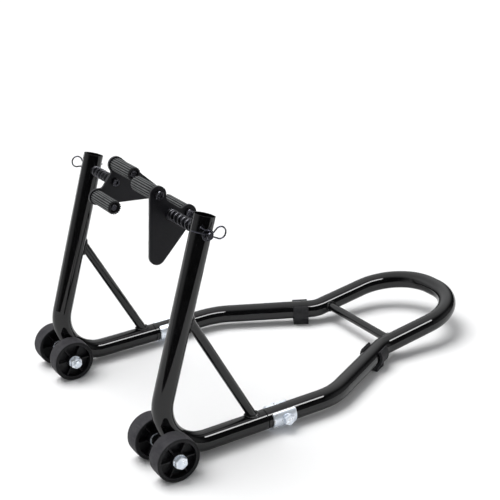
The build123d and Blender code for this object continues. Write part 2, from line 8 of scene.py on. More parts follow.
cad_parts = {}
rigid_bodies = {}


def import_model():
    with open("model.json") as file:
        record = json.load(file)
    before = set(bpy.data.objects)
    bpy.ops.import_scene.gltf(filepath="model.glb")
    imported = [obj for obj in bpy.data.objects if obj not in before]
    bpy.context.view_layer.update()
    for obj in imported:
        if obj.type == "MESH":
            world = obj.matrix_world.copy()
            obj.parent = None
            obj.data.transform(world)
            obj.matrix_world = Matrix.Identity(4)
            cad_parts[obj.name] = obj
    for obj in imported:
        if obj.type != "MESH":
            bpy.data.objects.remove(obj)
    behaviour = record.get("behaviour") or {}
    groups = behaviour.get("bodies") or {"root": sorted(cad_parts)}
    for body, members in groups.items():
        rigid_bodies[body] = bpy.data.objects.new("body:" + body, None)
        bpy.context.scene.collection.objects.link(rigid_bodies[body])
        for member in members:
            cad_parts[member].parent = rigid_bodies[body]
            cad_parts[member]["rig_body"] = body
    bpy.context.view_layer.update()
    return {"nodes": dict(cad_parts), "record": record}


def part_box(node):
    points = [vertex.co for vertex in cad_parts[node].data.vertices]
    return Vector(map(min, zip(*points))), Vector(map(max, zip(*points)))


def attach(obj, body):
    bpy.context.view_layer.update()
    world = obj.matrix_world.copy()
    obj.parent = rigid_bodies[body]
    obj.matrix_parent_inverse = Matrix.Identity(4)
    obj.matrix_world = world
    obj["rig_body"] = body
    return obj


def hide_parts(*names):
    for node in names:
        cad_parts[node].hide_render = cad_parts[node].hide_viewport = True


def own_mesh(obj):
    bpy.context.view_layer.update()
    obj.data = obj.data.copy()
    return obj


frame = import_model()

# Front paddock stand. Lengths are metres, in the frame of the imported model:
# +X runs from the wheels to the handle loop, +Y is the stand's left, +Z is up.
MM = 0.001
NODES = frame["nodes"]
SIDES = (("left", 1), ("right", -1))

# a mix node has one set of sockets for each kind of data, under the same names
MIX_COLOUR_A, MIX_COLOUR_B, MIX_COLOUR_OUT = 6, 7, 2
MIX_FLOAT_FACTOR, MIX_FLOAT_A, MIX_FLOAT_B, MIX_FLOAT_OUT = 0, 2, 3, 0

# cosine between the true and the rounded-over normal: on an edge, and on a flat
EDGE_COSINE, FLAT_COSINE = 0.80, 0.98

MERGE_DISTANCE = 2e-6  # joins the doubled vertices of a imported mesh

# ---------------------------------------------------------------- materials


class Graph:
    """A material's node tree, with short calls for adding and joining nodes."""

    def __init__(self, name):
        self.material = bpy.data.materials.new(name)
        self.material.use_nodes = True
        self.tree = self.material.node_tree
        self.shader = self.tree.nodes["Principled BSDF"]
        self.place = self.add("ShaderNodeTexCoord").outputs["Object"]

    def add(self, kind, **settings):
        node = self.tree.nodes.new(kind)
        for key, value in settings.items():
            setattr(node, key, value)
        return node

    def join(self, source, target):
        self.tree.links.new(source, target)

    def noise(self, scale, detail=3.0, stretch=(1.0, 1.0, 1.0)):
        """Noise texture in object space; scale is in lumps per metre."""
        mapping = self.add("ShaderNodeMapping")
        mapping.inputs["Scale"].default_value = stretch
        self.join(self.place, mapping.inputs["Vector"])
        texture = self.add("ShaderNodeTexNoise")
        texture.inputs["Scale"].default_value = scale
        texture.inputs["Detail"].default_value = detail
        self.join(mapping.outputs["Vector"], texture.inputs["Vector"])
        return texture.outputs["Fac"]

    def ramp(self, source, low, high, start, end):
        """Remaps start..end of a value to low..high."""
        remap = self.add("ShaderNodeMapRange")
        remap.inputs["From Min"].default_value = start
        remap.inputs["From Max"].default_value = end
        remap.inputs["To Min"].default_value = low
        remap.inputs["To Max"].default_value = high
        self.join(source, remap.inputs["Value"])
        return remap.outputs["Result"]

    def mix(self, factor, first, second):
        """Colour between two colours, or between an output and a colour."""
        node = self.add("ShaderNodeMix", data_type="RGBA")
        self.join(factor, node.inputs["Factor"])
        for index, value in ((MIX_COLOUR_A, first), (MIX_COLOUR_B, second)):
            socket = node.inputs[index]
            if isinstance(value, tuple):
                socket.default_value = (*value, 1.0)
            else:
                self.join(value, socket)
        return node.outputs[MIX_COLOUR_OUT]

    def edge_mask(self, width):
        """1 along the piece's sharp edges and 0 on its flats."""
        bevel = self.add("ShaderNodeBevel", samples=4)
        bevel.inputs["Radius"].default_value = width
        geometry = self.add("ShaderNodeNewGeometry")
        dot = self.add("ShaderNodeVectorMath", operation="DOT_PRODUCT")
        self.join(bevel.outputs["Normal"], dot.inputs[0])
        self.join(geometry.outputs["Normal"], dot.inputs[1])
        return self.ramp(dot.outputs["Value"], 1.0, 0.0, EDGE_COSINE, FLAT_COSINE)

    def bump(self, *layers):
        """Stacks bump layers, each (height output, depth in metres)."""
        last = None
        for height, depth in layers:
            node = self.add("ShaderNodeBump")
            node.inputs["Distance"].default_value = depth
            self.join(height, node.inputs["Height"])
            if last is not None:
                self.join(last, node.inputs["Normal"])
            last = node.outputs["Normal"]
        self.join(last, self.shader.inputs["Normal"])

    def set(self, **values):
        for key, value in values.items():
            self.shader.inputs[key.replace("_", " ")].default_value = value


def painted(name, base, lift, rough, peel_scale, peel_depth, coat, worn, gloss=0.0):
    """Powder coat: nearly black, orange peel, a little dust, paler along edges."""
    g = Graph(name)
    broad = g.noise(22.0, 4.0)
    fine = g.noise(peel_scale, 2.0)
    dust = g.ramp(g.noise(900.0, 5.0), 0.0, 1.0, 0.62, 0.80)
    colour = g.mix(g.ramp(broad, 0.0, 1.0, 0.35, 0.65), base, lift)
    speck = g.mix(g.ramp(dust, 0.0, 0.10, 0.0, 1.0), colour, (0.35, 0.34, 0.33))
    edged = g.mix(g.ramp(g.edge_mask(0.7 * MM), 0.0, 0.55, 0.0, 1.0), speck, worn)
    g.join(edged, g.shader.inputs["Base Color"])
    g.join(g.ramp(broad, rough - 0.04, rough + 0.07, 0.3, 0.7), g.shader.inputs["Roughness"])
    g.bump((fine, peel_depth), (g.noise(2600.0, 2.0), peel_depth * 0.15))
    g.set(Coat_Weight=coat, Coat_Roughness=0.05, Specular_IOR_Level=gloss)
    return g.material


def plated(name, bright, dull, rough, grain, stretch, depth, rubbed, metallic=1.0):
    """Zinc plate or bare steel: mottled brightness, fine drawn lines, rubbed edges."""
    g = Graph(name)
    cloud = g.noise(130.0, 5.0)
    lines = g.noise(grain, 3.0, stretch)
    colour = g.mix(g.ramp(cloud, 0.0, 1.0, 0.35, 0.66), bright, dull)
    edged = g.mix(g.ramp(g.edge_mask(0.5 * MM), 0.0, 0.7, 0.0, 1.0), colour, rubbed)
    g.join(edged, g.shader.inputs["Base Color"])
    g.join(g.ramp(cloud, rough - 0.07, rough + 0.12, 0.3, 0.7), g.shader.inputs["Roughness"])
    g.bump((lines, depth), (cloud, depth * 2.0))
    g.set(Metallic=metallic)
    return g.material


def moulded(name, base, lift, rough, grain, depth, scuff, stretch=(1.0, 1.0, 1.0), dark=None):
    """Rubber or plastic: fine moulded grain, cloudy tone, pale scuffs on edges.

    With dark, a per-vertex attribute turns the colour to it: painted shade."""
    g = Graph(name)
    cloud = g.noise(60.0, 5.0)
    pores = g.noise(grain, 4.0, stretch)
    marks = g.ramp(g.noise(240.0, 6.0, stretch), 0.0, 1.0, 0.55, 0.78)
    colour = g.mix(g.ramp(cloud, 0.0, 1.0, 0.3, 0.7), base, lift)
    marked = g.mix(g.ramp(marks, 0.0, 0.35, 0.0, 1.0), colour, scuff)
    colour = g.mix(g.ramp(g.edge_mask(1.0 * MM), 0.0, 0.5, 0.0, 1.0), marked, scuff)
    # painted shade: colour turned to dark where the mesh's attribute marks shade
    if dark:
        painted_shade = g.add("ShaderNodeAttribute", attribute_name="painted_shade")
        colour = g.mix(painted_shade.outputs["Fac"], colour, dark)
    g.join(colour, g.shader.inputs["Base Color"])
    g.set(Specular_IOR_Level=0.25)
    g.join(g.ramp(pores, rough - 0.08, rough + 0.08, 0.3, 0.7), g.shader.inputs["Roughness"])
    g.bump((pores, depth), (cloud, depth * 3.0))
    return g.material


LOOKS = {
    "black_paint": painted(
        "black_paint",
        base=(0.0016, 0.0016, 0.0018), lift=(0.0036, 0.0036, 0.004), rough=0.30,
        peel_scale=420.0, peel_depth=0.03 * MM, coat=0.85, worn=(0.016, 0.016, 0.017),
    ),
    "plate_paint": painted(
        "plate_paint",
        base=(0.0035, 0.0035, 0.0056), lift=(0.0065, 0.0065, 0.0098), rough=0.42,
        peel_scale=700.0, peel_depth=0.05 * MM, coat=0.05, worn=(0.04, 0.04, 0.048),
        gloss=0.24,
    ),
    "zinc": plated(
        "zinc",
        bright=(0.86, 0.90, 0.95), dull=(0.70, 0.76, 0.84), rough=0.30,
        grain=900.0, stretch=(1.0, 1.0, 0.15), depth=0.01 * MM,
        rubbed=(0.95, 0.96, 0.97), metallic=0.65,
    ),
    "dark_steel": plated(
        "dark_steel",
        bright=(0.075, 0.075, 0.085), dull=(0.045, 0.045, 0.055), rough=0.26,
        grain=1500.0, stretch=(1.0, 0.1, 1.0), depth=0.012 * MM,
        rubbed=(0.30, 0.30, 0.32),
    ),
    "spring_steel": plated(
        "spring_steel",
        bright=(0.115, 0.115, 0.125), dull=(0.07, 0.07, 0.078), rough=0.28,
        grain=1500.0, stretch=(1.0, 1.0, 1.0), depth=0.015 * MM,
        rubbed=(0.12, 0.12, 0.13),
    ),
    "clip_wire": plated(
        "clip_wire",
        bright=(0.09, 0.09, 0.11), dull=(0.06, 0.06, 0.075), rough=0.24,
        grain=1500.0, stretch=(1.0, 1.0, 1.0), depth=0.008 * MM,
        rubbed=(0.16, 0.16, 0.18),
    ),
    "black_plastic": moulded(
        "black_plastic",
        base=(0.0030, 0.0030, 0.0042), lift=(0.006, 0.006, 0.0075), rough=0.45,
        grain=1800.0, depth=0.03 * MM, scuff=(0.016, 0.016, 0.018),
    ),
    # hard_rubber's dark colour is painted shade on the treads' side faces
    "hard_rubber": moulded(
        "hard_rubber",
        base=(0.027, 0.026, 0.030), lift=(0.044, 0.043, 0.047), rough=0.72,
        grain=1600.0, depth=0.10 * MM, scuff=(0.085, 0.083, 0.087),
        stretch=(1.0, 0.25, 1.0), dark=(0.006, 0.006, 0.007),
    ),
    # grip_rubber's dark colour is painted shade in the grip grooves and on the grip tips
    "grip_rubber": moulded(
        "grip_rubber",
        base=(0.082, 0.086, 0.087), lift=(0.128, 0.133, 0.134), rough=0.66,
        grain=1700.0, depth=0.06 * MM, scuff=(0.20, 0.205, 0.205),
        stretch=(1.0, 0.12, 1.0), dark=(0.0045, 0.0045, 0.006),
    ),
    "soft_rubber": moulded(
        "soft_rubber",
        base=(0.010, 0.010, 0.012), lift=(0.018, 0.018, 0.020), rough=0.6,
        grain=1500.0, depth=0.08 * MM, scuff=(0.045, 0.045, 0.047),
    ),
}
SLOT_OF = {s["node"]: s["material_slot"] for s in frame["record"]["subparts"]}
for node_name, node_object in NODES.items():
    node_object.data.materials.clear()
    node_object.data.materials.append(LOOKS[SLOT_OF[node_name]])

# ------------------------------------------------------------- mesh helpers


def half_box(node, sign=0):
    """A CAD node's corners at rest; with a sign, of the solids on that side only."""
    points = [v.co for v in NODES[node].data.vertices if sign == 0 or v.co.y * sign > 0]
    low = Vector([min(p[i] for p in points) for i in range(3)])
    high = Vector([max(p[i] for p in points) for i in range(3)])
    return low, high


def finish_piece(name, mesh, look, node, crease=42.0, even=True):
    """Makes a mesh a piece that stands for a CAD node and rides on its body."""
    mesh.materials.clear()
    mesh.materials.append(LOOKS[look])
    mesh.shade_smooth()
    mesh.set_sharp_from_angle(angle=math.radians(crease))
    piece = bpy.data.objects.new(name, mesh)
    bpy.context.scene.collection.objects.link(piece)
    if even:
        weighted = piece.modifiers.new("even_normals", "WEIGHTED_NORMAL")
        weighted.keep_sharp = True
    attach(piece, NODES[node]["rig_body"])
    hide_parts(node)
    return piece


def mesh_from(name, bm):
    bmesh.ops.recalc_face_normals(bm, faces=bm.faces)
    mesh = bpy.data.meshes.new(name)
    bm.to_mesh(mesh)
    bm.free()
    return mesh


ROUNDED_FROM = 28.0  # degrees of turn from which an edge is rounded over
MERGED_BELOW = 0.4  # degrees of turn below which two faces become one


def rounded(node, width, segments=2):
    """Replaces a CAD node by a copy whose sharp edges are rounded over."""
    bm = bmesh.new()
    bm.from_mesh(NODES[node].data)
    bmesh.ops.remove_doubles(bm, verts=bm.verts, dist=MERGE_DISTANCE)
    bmesh.ops.dissolve_limit(
        bm, angle_limit=math.radians(MERGED_BELOW), verts=bm.verts, edges=bm.edges
    )
    sharp = [
        e for e in bm.edges
        if e.is_manifold and e.calc_face_angle(0.0) > math.radians(ROUNDED_FROM)
    ]
    bmesh.ops.bevel(
        bm, geom=sharp, offset=width, offset_type="OFFSET", segments=segments,
        profile=0.5, affect="EDGES", clamp_overlap=True, material=-1,
    )
    mesh = mesh_from(node + "_finished", bm)
    finish_piece(node + "_finished", mesh, SLOT_OF[node], node)


def store_painted_shade(mesh, rule):
    """Stores painted shade, 0..1 per vertex from rule(position); moulded() darkens by it."""
    layer = mesh.attributes.new("painted_shade", "FLOAT", "POINT")
    for vertex, item in zip(mesh.vertices, layer.data):
        item.value = rule(vertex.co)


ON_AXIS = 1e-7  # a radius below this is a single point on the axis


def turned_solid(bm, rows, place, count, flat_r=None, ripple=None):
    """Adds a solid turned about local Z from rows of (radius, height).

    With flat_r each radius is also held inside a hexagon of that inner radius.
    ripple, if given, changes a radius: ripple(angle, radius)."""
    rings = []
    for radius, height in rows:
        if radius < ON_AXIS:
            rings.append([bm.verts.new(place @ Vector((0, 0, height)))])
            continue
        ring = []
        for i in range(count):
            angle = 2 * math.pi * i / count
            r = radius
            if flat_r:
                off_flat = (angle + math.pi / 6) % (math.pi / 3) - math.pi / 6
                r = min(r, flat_r / math.cos(off_flat))
            if ripple:
                r = ripple(angle, r)
            spot = Vector((r * math.cos(angle), r * math.sin(angle), height))
            ring.append(bm.verts.new(place @ spot))
        rings.append(ring)
    for lower, upper in zip(rings, rings[1:]):
        if len(lower) == 1 and len(upper) == 1:
            continue
        for i in range(count):
            j = (i + 1) % count
            if len(lower) == 1:
                bm.faces.new((lower[0], upper[i], upper[j]))
            elif len(upper) == 1:
                bm.faces.new((lower[i], lower[j], upper[0]))
            else:
                bm.faces.new((lower[i], lower[j], upper[j], upper[i]))


def ring_solid(bm, rows, place, count, ripple=None):
    """Adds a closed ring turned about local Z from a closed outline of rows."""
    turned_solid(bm, list(rows) + [rows[0]], place, count, None, ripple)


def along_y(x, y, z, sign):
    """Placement whose local Z is +Y for sign 1 and -Y for sign -1."""
    turn = Matrix.Rotation(math.radians(-90.0 * sign), 4, "X")
    return Matrix.Translation((x, y, z)) @ turn


# ---------------------------------------------------------------- fasteners


BOLT_SIDES, THREAD_SIDES = 120, 48
HEAD_CHAMFER = 0.95 * MM
HEAD_TOP = 0.93  # radius of a head's flat top and washer face, as a part of flat_r
CHAMFER_STEPS = 6
FASTENER_CREASE = 35.0


def head_rows(flat_r, height, dish):
    """A forged hexagon head: washer face, flats, chamfered corners, dished top."""
    corner = flat_r / math.cos(math.pi / 6)
    top = flat_r * HEAD_TOP
    rows = [(0.0, 0.0), (top, 0.0), (flat_r * 0.95, 0.25 * MM)]
    rows += [(corner, 0.3 * MM), (corner, height - HEAD_CHAMFER)]
    for step in range(1, CHAMFER_STEPS + 1):
        share = step / CHAMFER_STEPS
        rows.append((corner - (corner - top) * share, height - HEAD_CHAMFER * (1 - share)))
    rows += [(flat_r * 0.90, height), (flat_r * 0.62, height - 0.1 * dish)]
    rows += [(flat_r * 0.50, height - dish), (0.0, height - dish)]
    return rows


THREAD_DEPTH = 0.55  # as a part of the pitch
THREAD_RUNOUT = 0.6 * MM
THREAD_POINT = 0.7 * MM


def thread_rows(radius, start, end, pitch):
    """A thread end: ridges one pitch apart, then a chamfered point."""
    rows = [(0.0, start), (radius, start)]
    root = radius - THREAD_DEPTH * pitch
    z = start
    while z + pitch < end - THREAD_RUNOUT:
        rows += [(radius, z + 0.2 * pitch), (root, z + 0.5 * pitch)]
        rows.append((radius, z + 0.9 * pitch))
        z += pitch
    rows += [(radius, end - THREAD_POINT), (radius - THREAD_POINT, end), (0.0, end)]
    return rows


SHALLOW_DISH = 0.15 * MM
SHANK_OVERLAP = 0.2 * MM  # the shank starts this far inside its head


def bolts(node, flat_r, head, radius, pitch, spots, look, dish=SHALLOW_DISH):
    """Modelled bolts for one CAD node; spots are (x, y of head seat, z, sign, end y)."""
    bm = bmesh.new()
    for x, seat, z, sign, end in spots:
        place = along_y(x, seat, z, sign)
        turned_solid(bm, head_rows(flat_r, head, dish), place, BOLT_SIDES, flat_r)
        inward = along_y(x, seat, z, -sign)
        rows = thread_rows(radius, -SHANK_OVERLAP, abs(end - seat), pitch)
        turned_solid(bm, rows, inward, THREAD_SIDES)
    name = node + "_finished"
    finish_piece(name, mesh_from(name, bm), look, node, FASTENER_CREASE, False)


NUT_CHAMFER = 0.9 * MM
NUT_TOP = 0.92  # radius of a nut's top under the collar, as a part of flat_r
NUT_STEPS = 4
COLLAR_WIDTH = 0.86  # radius of the rolled collar, as a part of flat_r
RING_SUNK = 0.9 * MM  # depth of the locking ring inside the collar


def lock_nut(bm, place, flat_r, height, bore, collar):
    """Adds a lock nut: chamfered hexagon under a rolled collar, open bore."""
    corner = flat_r / math.cos(math.pi / 6)
    top = flat_r * NUT_TOP
    hex_top = height - collar
    rows = [(bore, 0.0), (flat_r * 0.94, 0.0), (flat_r * 1.02, 0.3 * MM)]
    rows += [(corner, NUT_CHAMFER), (corner, hex_top - NUT_CHAMFER)]
    for step in range(1, NUT_STEPS + 1):
        share = step / NUT_STEPS
        rows.append((corner - (corner - top) * share, hex_top - NUT_CHAMFER * (1 - share)))
    lip = flat_r * COLLAR_WIDTH
    rows += [(lip, hex_top + 0.1 * MM), (lip, height - 0.8 * MM)]
    rows += [(lip - 0.25 * MM, height - 0.25 * MM), (lip - 0.8 * MM, height)]
    rows += [(lip - 1.3 * MM, height - 0.2 * MM), (lip - 1.4 * MM, height - RING_SUNK)]
    rows += [(bore, height - RING_SUNK)]
    turned_solid(bm, rows + [rows[0]], place, BOLT_SIDES, flat_r)


AXLE_LOW, AXLE_HIGH = half_box("axle_bolts", 1)
AXLE_X, AXLE_Z = (AXLE_LOW.x + AXLE_HIGH.x) / 2, (AXLE_LOW.z + AXLE_HIGH.z) / 2
COUPLING_LOW, COUPLING_HIGH = half_box("coupling_bolts", 1)
COUPLING_X = (COUPLING_LOW.x + COUPLING_HIGH.x) / 2
COUPLING_Z = (COUPLING_LOW.z + COUPLING_HIGH.z) / 2

# head height, thread radius and thread pitch of each bolt size
M12_HEAD, M12_R, M12_PITCH = 7.5 * MM, 5.97 * MM, 1.75 * MM
M10_HEAD, M10_R, M10_PITCH = 6.4 * MM, 4.97 * MM, 1.5 * MM
M8_HEAD, M8_R, M8_PITCH = 5.3 * MM, 3.97 * MM, 1.25 * MM
M8_FLAT_R = 6.5 * MM
M8_DISH = 1.9 * MM
M8_BORE, M8_COLLAR = 4.0 * MM, 2.2 * MM

for node, x, z, low, high, head, radius, pitch in (
    ("axle_bolts", AXLE_X, AXLE_Z, AXLE_LOW, AXLE_HIGH, M12_HEAD, M12_R, M12_PITCH),
    ("coupling_bolts", COUPLING_X, COUPLING_Z, COUPLING_LOW, COUPLING_HIGH,
     M10_HEAD, M10_R, M10_PITCH),
):
    flat_r = (high.z - low.z) / 2
    spots = [(x, sign * (high.y - head), z, sign, sign * low.y) for side, sign in SIDES]
    bolts(node, flat_r, head, radius, pitch, spots, "zinc")

for node, bore, collar in (
    ("axle_nuts", 6.0 * MM, 3.4 * MM),
    ("coupling_nuts", 5.0 * MM, 2.8 * MM),
):
    bm = bmesh.new()
    for side, sign in SIDES:
        low, high = half_box(node, sign)
        x, z = (low.x + high.x) / 2, (low.z + high.z) / 2
        seat = high.y if sign > 0 else low.y
        place = along_y(x, seat, z, -sign)
        lock_nut(bm, place, (high.z - low.z) / 2, high.y - low.y, bore, collar)
    name = node + "_finished"
    finish_piece(name, mesh_from(name, bm), "zinc", node, FASTENER_CREASE, False)

for side, sign in SIDES:
    # the two roller bolts of a plate: their heads are outboard of it
    bolt_node, nut_node = side + "_roller_bolts", side + "_roller_nuts"
    core_boxes = [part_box(side + "_" + n + "_roller_core") for n in ("first", "second")]
    centres = [((b[0].x + b[1].x) / 2, (b[0].z + b[1].z) / 2) for b in core_boxes]
    low, high = half_box(bolt_node)
    outer = high.y if sign > 0 else low.y
    inner = low.y if sign > 0 else high.y
    spots = [(x, outer - sign * M8_HEAD, z, sign, inner) for x, z in centres]
    bolts(bolt_node, M8_FLAT_R, M8_HEAD, M8_R, M8_PITCH, spots, "dark_steel", M8_DISH)
    low, high = half_box(nut_node)
    seat = high.y if sign > 0 else low.y
    bm = bmesh.new()
    for x, z in centres:
        place = along_y(x, seat, z, -sign)
        lock_nut(bm, place, M8_FLAT_R, high.y - low.y, M8_BORE, M8_COLLAR)
    name = nut_node + "_finished"
    finish_piece(name, mesh_from(name, bm), "dark_steel", nut_node, FASTENER_CREASE, False)

# ------------------------------------------------------- wheels and rollers


SHOULDER_R = 1.9 * MM
SHOULDER_STEPS = 6
CROWN = 0.35 * MM
RIDGE = 0.08 * MM  # height of the parting ridge
INNER_CHAMFER = 0.4 * MM
SHOULDER_FOOT = 1.0 * MM  # the side face's last corner, below the shoulder
TREAD_SIDES = 144
TREAD_CREASE = 60.0


def tread_rows(inner, outer, half):
    """Outline of a tread: rounded shoulders, a slight crown and a parting ridge."""
    centre_r = outer - CROWN - SHOULDER_R

    def shoulder_rows(middle, first_angle):
        for step in range(SHOULDER_STEPS + 1):
            angle = math.radians(first_angle + 90 * step / SHOULDER_STEPS)
            rows.append((
                centre_r + SHOULDER_R * math.cos(angle),
                middle + SHOULDER_R * math.sin(angle),
            ))

    def crown_rows(shares):
        for share in shares:
            rows.append((outer - CROWN * share * share - RIDGE, share * half))

    rows = [(inner, -half + INNER_CHAMFER), (inner + INNER_CHAMFER, -half)]
    rows.append((outer - SHOULDER_R - SHOULDER_FOOT, -half))
    shoulder_rows(-half + SHOULDER_R, -90)
    crown_rows((-0.6, -0.3, -0.06))
    rows += [(outer, -0.03 * half), (outer, 0.03 * half)]
    crown_rows((0.06, 0.3, 0.6))
    shoulder_rows(half - SHOULDER_R, 0)
    rows.append((outer - SHOULDER_R - SHOULDER_FOOT, half))
    rows += [(inner + INNER_CHAMFER, half), (inner, half - INNER_CHAMFER)]
    return rows


for side, sign in SIDES:
    for spot in ("outer", "inner"):
        wheel = side + "_" + spot + "_wheel"
        low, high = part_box(wheel + "_tread")
        core_low, core_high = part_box(wheel + "_core")
        place = along_y((low.x + high.x) / 2, (low.y + high.y) / 2, (low.z + high.z) / 2, 1)
        rows = tread_rows(
            (core_high.z - core_low.z) / 2, (high.z - low.z) / 2, (high.y - low.y) / 2
        )
        bm = bmesh.new()
        ring_solid(bm, rows, place, TREAD_SIDES)
        name = wheel + "_tread_finished"
        mesh = mesh_from(name, bm)
        middle, half_width = (low.y + high.y) / 2, (high.y - low.y) / 2

        def tread_painted_shade(co):
            # painted shade: dark on the upright side faces, fading over the rounded shoulder
            past_shoulder = abs(co.y - middle) - half_width + 0.9 * MM
            return min(max(past_shoulder / (0.6 * MM), 0.0), 1.0)

        store_painted_shade(mesh, tread_painted_shade)
        finish_piece(name, mesh, "hard_rubber", wheel + "_tread", TREAD_CREASE)
        rounded(wheel + "_core", 0.45 * MM)

# Roller grips: ribs run along them, and the grooves between them and the tips are darkened as
# painted shade.
RIB_COUNT = 18
STEPS_PER_RIB = 12
GRIP_CREASE = 50.0
GROOVE_SHARE = 0.56  # part of each rib's pitch that is groove
GROOVE_DEPTH = 1.3 * MM


def rib_shape(radius_from):
    """Ripple that cuts rounded grooves into radii above radius_from."""

    def cut(angle, radius):
        if radius < radius_from:
            return radius
        phase = (angle * RIB_COUNT / (2 * math.pi)) % 1.0
        off = abs(phase - 0.5) / (0.5 * GROOVE_SHARE)
        groove = math.cos(min(off, 1.0) * math.pi / 2) ** 0.6
        return radius - GROOVE_DEPTH * groove

    return cut


for side, sign in SIDES:
    for number in ("first", "second"):
        roller = side + "_" + number + "_roller"
        low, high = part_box(roller + "_grip")
        core_low, core_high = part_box(roller + "_core")
        root = high.y if sign > 0 else low.y
        length = high.y - low.y
        outer, inner = (high.z - low.z) / 2, (core_high.z - core_low.z) / 2
        place = along_y((low.x + high.x) / 2, root, (low.z + high.z) / 2, -sign)
        rows = [(inner, 0.0), (outer - 0.5 * MM, 0.0), (outer, 0.5 * MM)]
        rows += [(outer, length * share) for share in (0.25, 0.5, 0.75)]
        rows += [(outer, length - 1.4 * MM), (outer - 0.35 * MM, length - 0.6 * MM)]
        rows += [(outer - 1.2 * MM, length - 0.1 * MM), (outer - 1.9 * MM, length)]
        rows += [(inner + 0.7 * MM, length), (inner, length - 0.6 * MM)]
        rows += [(inner, length * 0.5)]
        bm = bmesh.new()
        ring_solid(bm, rows, place, RIB_COUNT * STEPS_PER_RIB, rib_shape(outer - GROOVE_DEPTH))
        name = roller + "_grip_finished"
        mesh = mesh_from(name, bm)
        tip = root - sign * length
        axis_x, axis_z = place.translation.x, place.translation.z

        def grip_painted_shade(co):
            # painted shade: full on the tip's end face and near the core, growing into each
            # groove
            radius = math.hypot(co.x - axis_x, co.z - axis_z)
            if abs(co.y - tip) < 0.3 * MM or radius < inner + 1.5 * MM:
                return 1.0
            return min(max((outer - 0.12 * MM - radius) / (0.4 * GROOVE_DEPTH), 0.0), 1.0)

        store_painted_shade(mesh, grip_painted_shade)
        finish_piece(name, mesh, "grip_rubber", roller + "_grip", GRIP_CREASE, False)
        rounded(roller + "_core", 0.4 * MM)

# ------------------------------------------------------------------ springs

SPRING_COILS = 5.6
CLOSED_COILS = 0.9  # turns of dead coil at each end
CLOSED_PITCH = 2.04  # of the dead coils, in wire radii: they just clear each other
END_GAP = 0.05 * MM
SPRING_CREASE = 60.0
WIRE_R = 1.5 * MM
STEPS_PER_TURN = 40
WIRE_SIDES = 14

for side, sign in SIDES:
    node = side + "_spring"
    low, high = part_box(node)
    x, z = (low.x + high.x) / 2, (low.z + high.z) / 2
    coil_r = (high.z - low.z) / 2 - WIRE_R
    inner_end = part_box(side + "_spring_washer")
    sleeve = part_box(side + "_pin_sleeve")
    start = inner_end[1].y if sign > 0 else inner_end[0].y
    end = sleeve[0].y if sign > 0 else sleeve[1].y
    start += sign * (WIRE_R + END_GAP)
    end -= sign * (WIRE_R + END_GAP)
    total = SPRING_COILS + 2 * CLOSED_COILS
    closed = CLOSED_COILS * CLOSED_PITCH * WIRE_R
    free = abs(end - start) - 2 * closed
    count = int(total * STEPS_PER_TURN)
    centres = []
    for i in range(count + 1):
        turn = total * i / count
        if turn < CLOSED_COILS:
            run = turn / CLOSED_COILS * closed
        elif turn > total - CLOSED_COILS:
            run = abs(end - start) - (total - turn) / CLOSED_COILS * closed
        else:
            run = closed + free * (turn - CLOSED_COILS) / SPRING_COILS
        angle = 2 * math.pi * turn
        centres.append(Vector((
            x + coil_r * math.cos(angle), start + sign * run, z + coil_r * math.sin(angle)
        )))
    bm = bmesh.new()
    rings = []
    for i, centre in enumerate(centres):
        ahead, behind = centres[min(i + 1, count)], centres[max(i - 1, 0)]
        forward = (ahead - behind).normalized()
        out = Vector((centre.x - x, 0, centre.z - z)).normalized()
        third = forward.cross(out).normalized()
        out = third.cross(forward)
        rings.append([
            bm.verts.new(centre + WIRE_R * (math.cos(a) * out + math.sin(a) * third))
            for a in (2 * math.pi * k / WIRE_SIDES for k in range(WIRE_SIDES))
        ])
    for first, second in zip(rings, rings[1:]):
        for k in range(WIRE_SIDES):
            j = (k + 1) % WIRE_SIDES
            bm.faces.new((first[k], first[j], second[j], second[k]))
    bm.faces.new(rings[0])
    bm.faces.new(rings[-1])
    name = node + "_finished"
    mesh = mesh_from(name, bm)
    piece = finish_piece(name, mesh, "spring_steel", node, SPRING_CREASE, False)
    # the coil shortens between the post and the moving plate, so it rides on the frame
    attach(piece, "frame")
    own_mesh(piece)

# -------------------------------------------------------------------- welds


BEAD_VOXEL = 0.45 * MM
BEAD_SMOOTHING = 3
LUMPS_PER_METRE = 420.0
STRUT_RIPPLES, SLEEVE_RIPPLES = 26, 30
STRUT_BEAD, SLEEVE_BEAD = 0.42 * MM, 0.38 * MM  # ripple depths


def weld_bead(node, axis, ripples, depth):
    """Replaces a smooth weld solid by a remeshed bead with ripples and lumps."""
    source = NODES[node]
    copy = bpy.data.objects.new(node + "_source", source.data.copy())
    bpy.context.scene.collection.objects.link(copy)
    weld = copy.modifiers.new("weld", "WELD")
    weld.merge_threshold = MERGE_DISTANCE
    remesh = copy.modifiers.new("remesh", "REMESH")
    remesh.mode = "VOXEL"
    remesh.voxel_size = BEAD_VOXEL
    smooth = copy.modifiers.new("smooth", "SMOOTH")
    smooth.iterations = BEAD_SMOOTHING
    graph = bpy.context.evaluated_depsgraph_get()
    mesh = bpy.data.meshes.new_from_object(copy.evaluated_get(graph))
    bpy.data.objects.remove(copy)
    bm = bmesh.new()
    bm.from_mesh(mesh)
    axis = Vector(axis).normalized()
    across = axis.orthogonal().normalized()
    third = axis.cross(across)
    reached = set()
    for first in bm.verts:
        if first in reached:
            continue
        reached.add(first)
        island, queue = [], [first]
        while queue:
            vert = queue.pop()
            island.append(vert)
            for edge in vert.link_edges:
                other = edge.other_vert(vert)
                if other not in reached:
                    reached.add(other)
                    queue.append(other)
        middle = sum((v.co for v in island), Vector()) / len(island)
        moves = []
        for vert in island:
            offset = vert.co - middle
            angle = math.atan2(offset.dot(third), offset.dot(across))
            ripple = math.sin(angle * ripples + 2.2 * math.sin(angle))
            lump = noise.noise(vert.co * LUMPS_PER_METRE)
            moves.append((vert, vert.normal * depth * (0.45 * ripple + 0.9 * lump)))
        for vert, move in moves:
            vert.co += move
    mesh = mesh_from(node + "_finished", bm)
    finish_piece(node + "_finished", mesh, "black_paint", node, 180.0, False)


